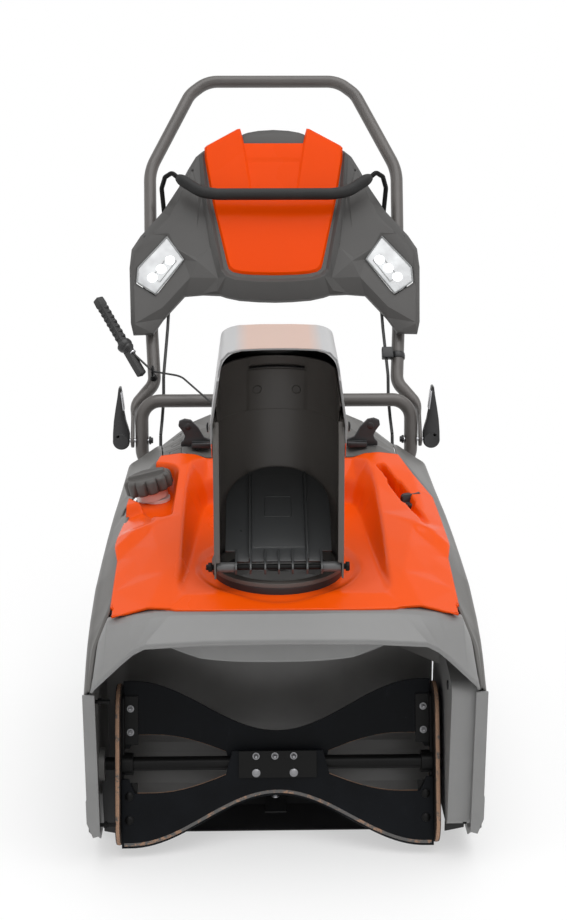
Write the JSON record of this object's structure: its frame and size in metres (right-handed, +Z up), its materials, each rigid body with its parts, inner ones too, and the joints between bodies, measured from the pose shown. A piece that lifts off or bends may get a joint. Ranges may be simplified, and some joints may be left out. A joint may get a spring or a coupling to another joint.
{
  "type": "snow thrower",
  "caption": "Walk-behind snow thrower with a rubber-paddle auger under a flared visor, a turning chute with a tilting deflector, rear wheels and a folding handle with a dash and lamps.",
  "frame": {"origin": "middle of the scraper's wear face, on the ground below the intake", "axes": "+X across the machine, +Y from the intake back to the handle, +Z up"},
  "size_m": [0.6333, 1.2213, 1.0428],
  "materials": {
    "dark_panel": "satin moulded",
    "housing_metal": "satin",
    "light_panel": "satin moulded",
    "orange_panel": "gloss",
    "black_plastic": "satin",
    "steel_frame": "satin powder coat",
    "bare_steel": "plated",
    "engine_metal": "cast",
    "white_plastic": "satin",
    "belt_rubber": "worn",
    "black_metal": "satin",
    "tyre": "matte",
    "wheel_rim": "satin",
    "flap_plastic": "satin",
    "deflector_plastic": "semi-gloss",
    "cable": "matte",
    "grip_rubber": "soft",
    "lamp": "clear"
  },
  "bodies": {
    "chassis": {"auger_housing": "housing_metal", "housing_roof": "housing_metal", "visor": "light_panel", "side_cover_left": "dark_panel", "side_cover_right": "dark_panel", "guard_strips": "light_panel", "hood": "orange_panel", "rear_shroud": "dark_panel", "belt_cover": "light_panel", "scraper_bar": "black_plastic", "deck": "steel_frame", "axle": "bare_steel", "engine_block": "engine_metal", "muffler": "engine_metal", "recoil_housing": "black_plastic", "fuel_tank": "black_plastic", "filler_neck": "white_plastic", "drive_belt": "belt_rubber", "lower_handle": "steel_frame", "chute_ring": "black_plastic", "chute_control": "black_plastic", "clamp_bolts": "bare_steel", "starter_rope": "cable", "lower_cables": "cable", "idler_bolt": "bare_steel"},
    "auger": {"auger_shaft": "black_metal", "paddle_lower": "belt_rubber", "paddle_upper": "belt_rubber", "clamp_plates": "black_metal", "bracket_left": "black_metal", "bracket_right": "black_metal", "flight_left": "belt_rubber", "flight_right": "belt_rubber", "auger_pulley": "engine_metal"},
    "crank": {"crankshaft": "bare_steel", "crank_pulley": "engine_metal"},
    "idler_arm": {"idler_arm": "bare_steel"},
    "idler_pulley": {"idler_pulley": "bare_steel"},
    "wheel_left": {"wheel_left": "wheel_rim", "tyre_left": "tyre"},
    "wheel_right": {"wheel_right": "wheel_rim", "tyre_right": "tyre"},
    "chute": {"chute": "dark_panel", "flap_pin": "bare_steel"},
    "chute_flap": {"chute_flap": "flap_plastic"},
    "deflector": {"deflector": "deflector_plastic"},
    "upper_handle": {"upper_handle": "steel_frame", "dash_panel": "dark_panel", "dash_cover": "orange_panel", "headlight_left": "lamp", "headlight_right": "lamp", "rope_guide": "black_plastic", "handle_cables": "cable"},
    "bail": {"bail": "black_metal", "bail_grip": "grip_rubber"},
    "cam_lever_left": {"cam_lever_left": "black_plastic"},
    "cam_lever_right": {"cam_lever_right": "black_plastic"},
    "starter_grip": {"starter_grip": "black_plastic"},
    "fuel_cap": {"fuel_cap": "black_plastic"},
    "choke_knob": {"choke_knob": "black_plastic"}
  },
  "joints": [
    {"name": "auger_spin", "type": "hinge", "parent": "chassis", "child": "auger", "pos_m": [0, -0.024, 0.122], "axis": [1, 0, 0], "continuous": true},
    {"name": "crank_spin", "type": "hinge", "parent": "chassis", "child": "crank", "pos_m": [0.2, 0.25, 0.24], "axis": [1, 0, 0], "continuous": true},
    {"name": "idler_swing", "type": "hinge", "parent": "chassis", "child": "idler_arm", "pos_m": [0.236, 0.13654, 0.29578], "axis": [1, 0, 0], "range_deg": [0, 3.8]},
    {"name": "idler_spin", "type": "hinge", "parent": "idler_arm", "child": "idler_pulley", "pos_m": [0.245, 0.08054, 0.23978], "axis": [1, 0, 0], "continuous": true},
    {"name": "wheel_left_spin", "type": "hinge", "parent": "chassis", "child": "wheel_left", "pos_m": [-0.236, 0.45, 0.1], "axis": [1, 0, 0], "continuous": true},
    {"name": "wheel_right_spin", "type": "hinge", "parent": "chassis", "child": "wheel_right", "pos_m": [0.236, 0.45, 0.1], "axis": [1, 0, 0], "continuous": true},
    {"name": "chute_rotate", "type": "hinge", "parent": "chassis", "child": "chute", "pos_m": [-0.008, 0.04, 0.4053], "axis": [0, 0, 1], "range_deg": [-100, 100]},
    {"name": "flap_swing", "type": "hinge", "parent": "chute", "child": "chute_flap", "pos_m": [-0.008, -0.045, 0.433], "axis": [1, 0, 0], "range_deg": [0, 55]},
    {"name": "deflector_tilt", "type": "hinge", "parent": "chute", "child": "deflector", "pos_m": [-0.008, -0.015, 0.624], "axis": [1, 0, 0], "range_deg": [0, 30]},
    {"name": "handle_fold", "type": "hinge", "parent": "chassis", "child": "upper_handle", "pos_m": [0, 0.625, 0.42], "axis": [-1, 0, 0], "range_deg": [0, 60]},
    {"name": "bail_squeeze", "type": "hinge", "parent": "upper_handle", "child": "bail", "pos_m": [0, 0.84571, 0.71946], "axis": [-1, 0, 0], "range_deg": [0, 10], "stiffness_Nm_per_rad": 3, "springref_deg": -22.92},
    {"name": "cam_left_throw", "type": "hinge", "parent": "chassis", "child": "cam_lever_left", "pos_m": [-0.281, 0.625, 0.42], "axis": [0, -1, 0], "range_deg": [0, 95]},
    {"name": "cam_right_throw", "type": "hinge", "parent": "chassis", "child": "cam_lever_right", "pos_m": [0.281, 0.625, 0.42], "axis": [0, 1, 0], "range_deg": [0, 95]},
    {"name": "starter_pull", "type": "slide", "parent": "upper_handle", "child": "starter_grip", "axis": [-0.6828, 0.5237, 0.5095], "range_m": [0, 0.25], "stiffness_N_per_m": 20, "springref_m": -0.3},
    {"name": "fuel_cap_twist", "type": "hinge", "parent": "chassis", "child": "fuel_cap", "pos_m": [-0.204, 0.262, 0.446], "axis": [-0.2419, 0, 0.9703], "range_deg": [0, 90]},
    {"name": "choke_turn", "type": "hinge", "parent": "chassis", "child": "choke_knob", "pos_m": [0.2, 0.212, 0.431], "axis": [0, 0, 1], "range_deg": [-60, 60]}
  ],
  "couplings": [
    {"joint": "crank_spin", "follows": "auger_spin", "ratio": 2.85},
    {"joint": "idler_swing", "follows": "bail_squeeze", "ratio": 0.38}
  ]
}
